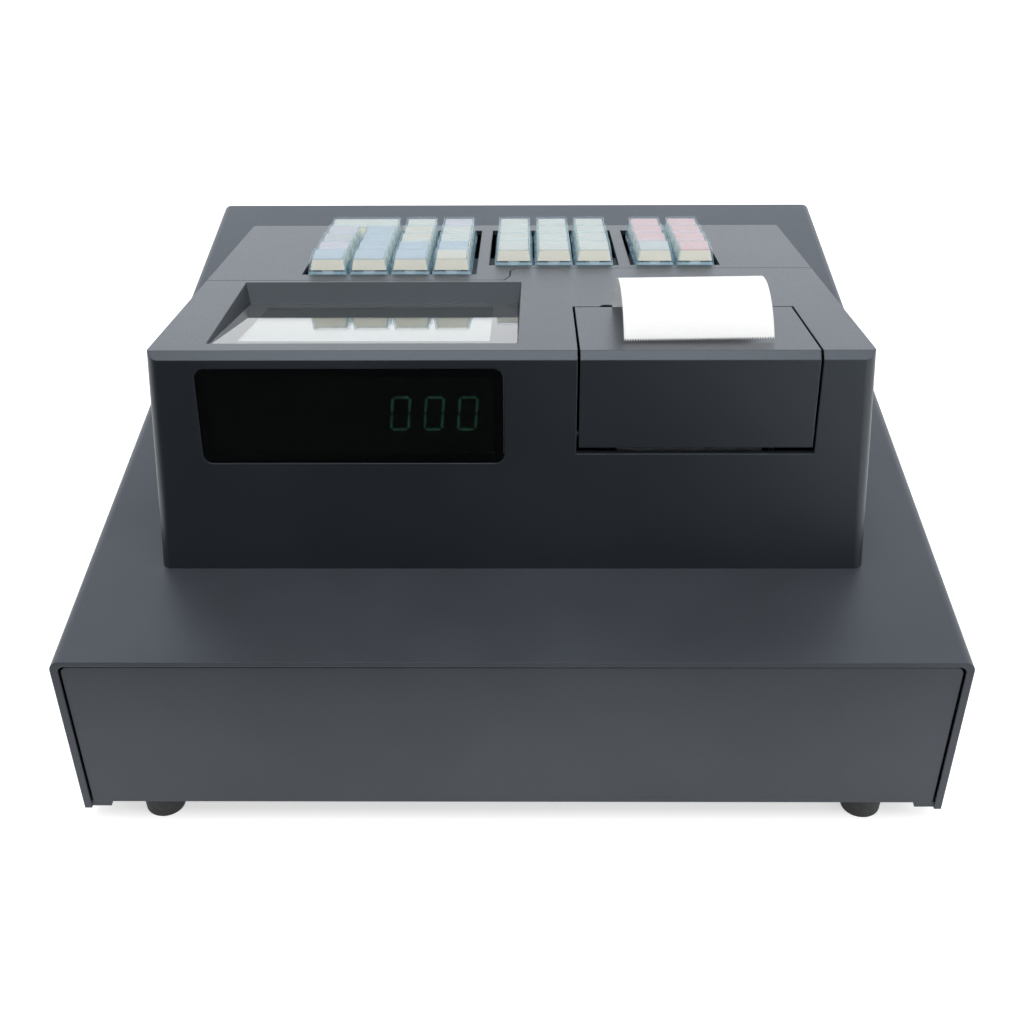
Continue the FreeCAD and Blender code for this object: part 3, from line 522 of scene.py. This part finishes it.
float_glass, tree = new_material("float_glass")
wipe = noise(tree, glass_wipe, 3.0)
rough = add(tree, "MapRange", {"From Min": 0.5, "From Max": 0.9, "To Min": 0.0, "To Max": 0.02},
            {"Value": wipe})
surface = add(tree, "BsdfPrincipled",
              {"Base Color": linear(glass_tint), "IOR": 1.52, "Transmission Weight": 1.0},
              {"Roughness": rough.outputs[0]})
show(tree, surface)

lens = start_box("display_glass", Vector((glass_left, 0, -glass_thick)),
                 Vector((glass_right, glass_length, 0)))
round_edges(2, glass_corner, 5)
settle(lens, in_recess, "cabinet", "window", float_glass)
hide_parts("display_windows")

screen_ink, tree = new_material("screen_printed_ink")
mesh_marks = noise(tree, ink_mesh, 2.0)
rough = add(tree, "MapRange", {"To Min": 0.5, "To Max": 0.6}, {"Value": mesh_marks})
surface = add(tree, "BsdfPrincipled", {"Base Color": linear(border_grey)}, {"Roughness": rough.outputs[0]})
show(tree, surface)

ink_low = Vector((glass_left + ink_lift, ink_lift, -glass_thick + ink_lift))
ink_high = Vector((glass_right - ink_lift, glass_length - ink_lift, -glass_thick + 2 * ink_lift))
border = start_box("display_border", ink_low, ink_high)
bpy.ops.object.mode_set(mode="EDIT")
for side, axis, sign in ((clear_left, 0, 1), (clear_right, 0, -1), (border_near, 1, 1), (clear_far, 1, -1)):
    point = Vector((0, 0, 0))
    point[axis] = side
    normal = Vector((0, 0, 0))
    normal[axis] = sign
    bpy.ops.mesh.select_all(action="SELECT")
    bpy.ops.mesh.bisect(plane_co=point, plane_no=normal)


def in_opening(face):
    # True for the flat faces inside the border, which are cut away.
    middle = face.calc_center_median()
    return (clear_left < middle.x < clear_right and border_near < middle.y < clear_far and
            abs(face.normal.z) > aligned)


choose("FACE", in_opening)
bpy.ops.mesh.delete(type="FACE")
choose("EDGE", lambda edge: edge.is_boundary)
bpy.ops.mesh.bridge_edge_loops()
bpy.ops.object.mode_set(mode="OBJECT")
settle(border, in_recess, "cabinet", "window", screen_ink)

polariser, tree = new_material("polarising_film")
cells = noise(tree, film_cell, 2.0)
colour = two_tone(tree, cells, 0.0, module_grey, 1.0, module_grey_light)
surface = add(tree, "BsdfPrincipled", {"Roughness": 0.03, "IOR": 1.34}, {"Base Color": colour.outputs[0]})
show(tree, surface)

module_top = -glass_thick - module_gap
module_low = Vector((clear_left - module_tuck, border_near - module_tuck, module_top - module_tuck))
module_high = Vector((clear_right + module_tuck, clear_far + module_tuck, module_top))
module = start_box("display_module", module_low, module_high)
round_edges(2, module_corner, 2)
settle(module, in_recess, "cabinet", "window", polariser)

# Receipt
# Thermal paper, white and smooth, torn off on the toothed bar. It stands up out of the slot and
# curls over on its own roll set, so its cut end hangs close over the printer cover. Light comes
# through it.
paper_width = 0.058
paper_middle = 0.071
paper_curl = 0.0304
paper_tail = 0.009
paper_wrap = math.radians(140.8)
paper_turn = math.radians(1.5)
turn_rise = 0.012
paper_thick = 0.00012
paper_slot_y = -0.0660332
paper_curl_z = 0.1623301
tooth_pitch = 0.0010
tooth_high = 0.0011
paper_clear = 0.35
curl_steps = 56
paper_fibre = 0.0012
paper_dim = "#f6f6f6"
paper_white = "#ffffff"
vertex_reach = 1e-4

thermal_paper, tree = new_material("thermal_paper")
fibre = noise(tree, paper_fibre, 5.0)
colour = two_tone(tree, fibre, 0.0, paper_dim, 1.0, paper_white)
bump = add(tree, "Bump", {"Distance": 0.00003, "Strength": 0.2}, {"Height": fibre})
surface = add(tree, "BsdfPrincipled", {"Roughness": 0.45, "IOR": 1.45},
              {"Base Color": colour.outputs[0], "Normal": bump.outputs[0]})
through = add(tree, "BsdfTranslucent", links={"Color": colour.outputs[0]})
sheet = add(tree, "MixShader", {0: paper_clear}, {1: surface.outputs[0], 2: through.outputs[0]})
show(tree, sheet)

teeth = round(paper_width / tooth_pitch)
curl_y = paper_slot_y - paper_curl
bpy.ops.object.select_all(action="DESELECT")
bpy.ops.mesh.primitive_grid_add(x_subdivisions=2 * teeth, y_subdivisions=1, size=1.0, location=(0, 0, 0))
receipt = bpy.context.object
receipt.name = "receipt_paper"
receipt.scale = (paper_width, paper_tail, 1)
receipt.rotation_euler = (math.pi / 2, 0, 0)
receipt.location = (paper_middle, paper_slot_y, paper_curl_z - paper_tail / 2)
bpy.ops.object.transform_apply(location=True, rotation=True, scale=True)
bpy.ops.object.mode_set(mode="EDIT")
choose("EDGE", lambda edge: min(v.co.z for v in edge.verts) > paper_curl_z - vertex_reach)
curl_centre = (paper_middle, curl_y, paper_curl_z)
bpy.ops.mesh.spin(steps=curl_steps, angle=paper_wrap, center=curl_centre, axis=(-1, 0, 0))
bpy.ops.object.mode_set(mode="OBJECT")
end = Vector((math.cos(paper_wrap), math.sin(paper_wrap)))
onward = Vector((0, -math.sin(paper_wrap), math.cos(paper_wrap)))
for vertex in receipt.data.vertices:
    from_centre = Vector((vertex.co.y - curl_y, vertex.co.z - paper_curl_z))
    if (from_centre - paper_curl * end).length < vertex_reach:
        tooth = round((vertex.co.x - paper_middle + paper_width / 2) / paper_width * 2 * teeth)
        if tooth % 2:
            vertex.co -= tooth_high * onward
for vertex in receipt.data.vertices:
    # The free part is turned a little about the upright line through the slot's middle, more the
    # further it is out of the slot.
    risen = (vertex.co.z - paper_curl_z - turn_rise / 2) / turn_rise
    out = min(1.0, max(0.0, risen, (paper_slot_y - vertex.co.y) / paper_curl))
    side = Vector((vertex.co.x - paper_middle, vertex.co.y - paper_slot_y, vertex.co.z))
    side.rotate(Matrix.Rotation(out * paper_turn, 3, "Z"))
    vertex.co = side + Vector((paper_middle, paper_slot_y, 0))
bpy.ops.object.shade_smooth()
wall = receipt.modifiers.new("thickness", "SOLIDIFY")
wall.thickness = paper_thick
wall.offset = 0.0
bpy.ops.object.modifier_apply(modifier=wall.name)
settle(receipt, Matrix.Identity(4), "cover", "paper", thermal_paper)
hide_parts("receipt_strip")

# Paper roll
# The same paper wound on a card core. Its ends show the turns as fine rings.
core_radius = 0.0070
turn_pitch = 0.0006
roll_white = "#eceef0"
core_card = "#a08a6c"
roll_centre = (paper_middle, *[(a + b) / 2 for a, b in zip(*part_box("paper_roll"))][1:])

wound_paper, tree = new_material("wound_thermal_paper")
place = add(tree, "TexCoord").outputs["Object"]
centred = add(tree, "VectorMath", {1: roll_centre}, {0: place}, operation="SUBTRACT")
flat = add(tree, "VectorMath", {1: (0, 1, 1)}, {0: centred.outputs[0]}, operation="MULTIPLY")
radius = add(tree, "VectorMath", links={0: flat.outputs[0]}, operation="LENGTH")
rings = add(tree, "Math", {1: turn_pitch}, {0: radius.outputs["Value"]}, operation="PINGPONG")
height = add(tree, "Math", {1: turn_pitch}, {0: rings.outputs[0]}, operation="DIVIDE")
card = add(tree, "Math", {1: core_radius}, {0: radius.outputs["Value"]}, operation="LESS_THAN")
colour = add(tree, "Mix", {"A": linear(roll_white), "B": linear(core_card)}, {"Factor": card.outputs[0]},
             data_type="RGBA")
bump = add(tree, "Bump", {"Distance": 0.0001, "Strength": 0.4}, {"Height": height.outputs[0]})
surface = add(tree, "BsdfPrincipled", {"Roughness": 0.6}, {"Base Color": colour.outputs["Result"],
                                                          "Normal": bump.outputs[0]})
show(tree, surface)
on_solids(wound_paper, "paper_roll")

# Key caps, bodies and stems
# Each key is a cream moulded body on a white stem, with a coloured paper under a polycarbonate
# cap. The cap is a shell that reaches below the body. It is clear on top and in front. Its sides
# and lower rim carry painted light: they are made more opaque pale blue, standing in for the light
# that the clear walls carry.
key_pitch = 0.01905
key_base = 0.0185
key_drop = 0.0015
key_near = 0.0079
key_far = 0.0093
key_taper = 0.0015
cap_wall = 0.0010
cap_tint = "#b4d6e6"
cap_body = 0.07
side_painted_light_alpha = 0.40
rim_painted_light_alpha = 0.42
lip_top = 0.0008
lip_fade = 0.0003
touch_mark = 0.004
cap_corner = 0.0016
cap_edge = 0.0009
body_gap = 0.00125
body_lift = 0.0016
body_corner = 0.0008
stem_half = 0.0030
stem_low = 0.0095
stem_front = 0.0048
stem_corner = 0.0005
tongue_corner = 0.0002
level_reach = 1e-5
smooth_below = math.radians(35)
paper_faces_up = 0.4
body_cream = "#e3e0d2"
stem_white = "#f2f3f3"
first_column = -0.0857
first_row = 0.1390
block_gap = 0.0095
left_columns = 4
middle_columns = 3
right_columns = 2
rows = 5
paper_tones = {
    "white": "#b3b6af", "blue": "#9ca8b0", "lilac": "#aeabb1", "grey": "#a8a8a9",
    "cream": "#b7b4a8", "pink": "#bfa2a2", "pale": "#abb1b0",
}
left_tones = [["blue", "lilac", "grey", "lilac"], ["blue"] * 4, ["blue", "blue", "cream", "cream", "white"],
              ["cream", "blue", "white", "white", "lilac"]]
record_slots = {"white": "key_white", "blue": "key_blue", "lilac": "key_lilac", "grey": "key_lilac",
                "cream": "key_cream", "pink": "key_pink", "pale": "key_pale_blue"}

clear_cap, tree = new_material("clear_polycarbonate")
place = add(tree, "TexCoord").outputs["Object"]
touch = noise(tree, touch_mark, 2.0)
rough = add(tree, "MapRange", {"To Min": 0.06, "To Max": 0.16}, {"Value": touch})
upward = on_deck.to_3x3() @ Vector((0, 0, 1))
height = add(tree, "VectorMath", {1: upward}, {0: place}, operation="DOT_PRODUCT")
lip_end = deck_start.dot(upward) + lip_top
# Painted light: the lower rim and the side faces are made more opaque pale blue, for the light that the
# clear walls carry.
lip = add(tree, "MapRange",
          {"From Min": lip_end, "From Max": lip_end + lip_fade, "To Min": rim_painted_light_alpha, "To Max": cap_body},
          {"Value": height.outputs["Value"]})
facing = add(tree, "SeparateXYZ", links={0: add(tree, "TexCoord").outputs["Normal"]})
sideways = add(tree, "Math", links={0: facing.outputs["X"]}, operation="ABSOLUTE")
side = add(tree, "MapRange", {"From Min": 0.4, "From Max": 0.9, "To Min": cap_body,
                              "To Max": side_painted_light_alpha}, {"Value": sideways.outputs[0]})
# The cap's opacity, raised on the rim and the sides by that painted light.
depth = add(tree, "Math", links={0: lip.outputs[0], 1: side.outputs[0]}, operation="MAXIMUM")
surface = add(tree, "BsdfPrincipled", {"Base Color": linear(cap_tint), "IOR": 1.5},
              {"Roughness": rough.outputs[0], "Alpha": depth.outputs[0]})
show(tree, surface)


def matt_plastic(name, colour, grain_size, roughness, spread=0.06):
    # Plain moulded plastic or paper with a fine grain in its sheen.
    material, tree = new_material(name)
    grain = noise(tree, grain_size, 2.0)
    rough = add(tree, "MapRange", {"To Min": roughness - spread, "To Max": roughness + spread},
                {"Value": grain})
    bump = add(tree, "Bump", {"Distance": 0.00003, "Strength": 0.2}, {"Height": grain})
    surface = add(tree, "BsdfPrincipled", {"Base Color": linear(colour), "IOR": 1.5},
                  {"Roughness": rough.outputs[0], "Normal": bump.outputs[0]})
    show(tree, surface)
    return material


cream_body = matt_plastic("cream_abs", body_cream, grain_size=0.0007, roughness=0.45)
white_stem = matt_plastic("white_acetal", stem_white, grain_size=0.0009, roughness=0.4)
key_papers = {name: matt_plastic(name + "_key_paper", tone, grain_size=0.0005, roughness=0.6)
              for name, tone in paper_tones.items()}


def shape_key(name, width, depth, low, near, far, taper, corner, edge):
    # A block whose sides lean in and whose top tilts, with its edges rounded.
    half = Vector((width / 2, depth / 2, 0))
    piece = start_box(name, Vector((-half.x, -half.y, low)), Vector((half.x, half.y, near)))
    bpy.ops.object.mode_set(mode="EDIT")
    choose("FACE", lambda face: face.normal.z > aligned)
    shrink = (1 - 2 * taper / width, 1 - 2 * taper / depth, 1)
    bpy.ops.transform.resize(value=shrink, center_override=(0, 0, 0))
    choose("EDGE", lambda edge: min(v.co.z for v in edge.verts) > low + level_reach and
           min(v.co.y for v in edge.verts) > 0)
    bpy.ops.transform.translate(value=(0, 0, far - near))
    choose("EDGE", lambda edge: abs(edge.verts[0].co.z - edge.verts[1].co.z) > (near - low) / 2)
    bpy.ops.mesh.bevel(offset=corner, segments=4, affect="EDGES")
    choose("FACE", lambda face: face.normal.z > aligned)
    bpy.ops.mesh.bevel(offset=edge, segments=3, affect="EDGES")
    bpy.ops.object.mode_set(mode="OBJECT")
    return piece


def keep_flats_flat(piece):
    # Smooth rounded edges with normals that follow the large faces.
    bpy.ops.object.shade_smooth_by_angle(angle=smooth_below)
    weighted = piece.modifiers.new("weighted", "WEIGHTED_NORMAL")
    weighted.keep_sharp = True
    bpy.ops.object.modifier_apply(modifier=weighted.name)


def shape_cap(name, width):
    # The clear shell, open below.
    cap = shape_key(name, width, key_base, -key_drop, key_near, key_far, key_taper, cap_corner, cap_edge)
    bpy.ops.object.mode_set(mode="EDIT")
    choose("FACE", lambda face: face.normal.z < -aligned)
    bpy.ops.mesh.delete(type="FACE")
    bpy.ops.object.mode_set(mode="OBJECT")
    wall = cap.modifiers.new("wall", "SOLIDIFY")
    wall.thickness = cap_wall
    wall.offset = -1.0
    bpy.ops.object.modifier_apply(modifier=wall.name)
    keep_flats_flat(cap)
    return cap


def shape_body(name, width):
    # The cream body with the paper on top, joined to its stem.
    taper = key_taper * (key_near - body_lift) / (key_near + key_drop)
    body = shape_key(name, width - 2 * body_gap, key_base - 2 * body_gap, body_lift, key_near - body_gap,
                     key_far - body_gap, taper, body_corner, body_corner / 2)
    keep_flats_flat(body)
    for face in body.data.polygons:
        face.material_index = 1 if face.normal.z > paper_faces_up else 0
    stem = start_box("stem", Vector((-stem_half, -stem_half, -stem_low)),
                     Vector((stem_half, stem_half, body_lift)))
    round_edges(2, stem_corner, 2)
    tongue_low = Vector((-stem_front / 2, -key_base / 2 + 2 * cap_wall, body_lift - 2 * cap_wall))
    tongue = start_box("tongue", tongue_low, Vector((stem_front / 2, -stem_half, body_lift)))
    round_edges(1, tongue_corner, 2)
    for piece in (stem, tongue):
        for face in piece.data.polygons:
            face.material_index = 2
    for piece in (body, stem, tongue):
        for material in (cream_body, key_papers["white"], white_stem):
            piece.data.materials.append(material)
    bpy.ops.object.select_all(action="DESELECT")
    for piece in (stem, tongue, body):
        piece.select_set(True)
    bpy.context.view_layer.objects.active = body
    bpy.ops.object.join()
    return body


patterns = {}
for width in (1, 2):
    full = key_base + (width - 1) * key_pitch
    patterns[width] = (shape_cap("cap_pattern", full), shape_body("body_pattern", full))

places = []
for row in range(rows):
    for column in range(left_columns):
        if row < rows - 1 or column > 1:
            places.append((column, row, 1, left_tones[column][row]))
places.append((0.5, rows - 1, 2, "white"))
middle_first = left_columns + block_gap / key_pitch
right_first = middle_first + middle_columns + block_gap / key_pitch
for row in range(1, rows):
    places += [(middle_first + column, row, 1, "white") for column in range(middle_columns)]
    places.append((right_first, row, 1, "pale" if row == 1 else "pink"))
    places.append((right_first + right_columns - 1, row, 1, "pink"))

for number, (column, row, width, tone) in enumerate(places, 1):
    at = on_deck @ Matrix.Translation((first_column + column * key_pitch, first_row + row * key_pitch, 0))
    cap, body = (pattern.copy() for pattern in patterns[width])
    for piece, kind in ((cap, "key_cap_%02d"), (body, "key_body_%02d")):
        piece.data = piece.data.copy()
        piece.name = kind % number
        bpy.context.scene.collection.objects.link(piece)
    settle(cap, at, "keycap_%02d" % number, record_slots[tone], clear_cap)
    body.data.materials[1] = key_papers[tone]
    settle(body, at, "keycap_%02d" % number, record_slots[tone])
    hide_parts("key_%02d" % number)
    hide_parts("key_%02d" % number)
for pair in patterns.values():
    for pattern in pair:
        bpy.data.objects.remove(pattern)

# Switch plate
# The moulded plate under the keys that holds their switches. Grey PBT, seen only down the gaps
# round the keys, where it keeps the wells from looking empty.
plate_grey = "#76828c"

grey_pbt = matt_plastic("grey_pbt", plate_grey, grain_size=0.0008, roughness=0.5)
on_solids(grey_pbt, "switch_plate")
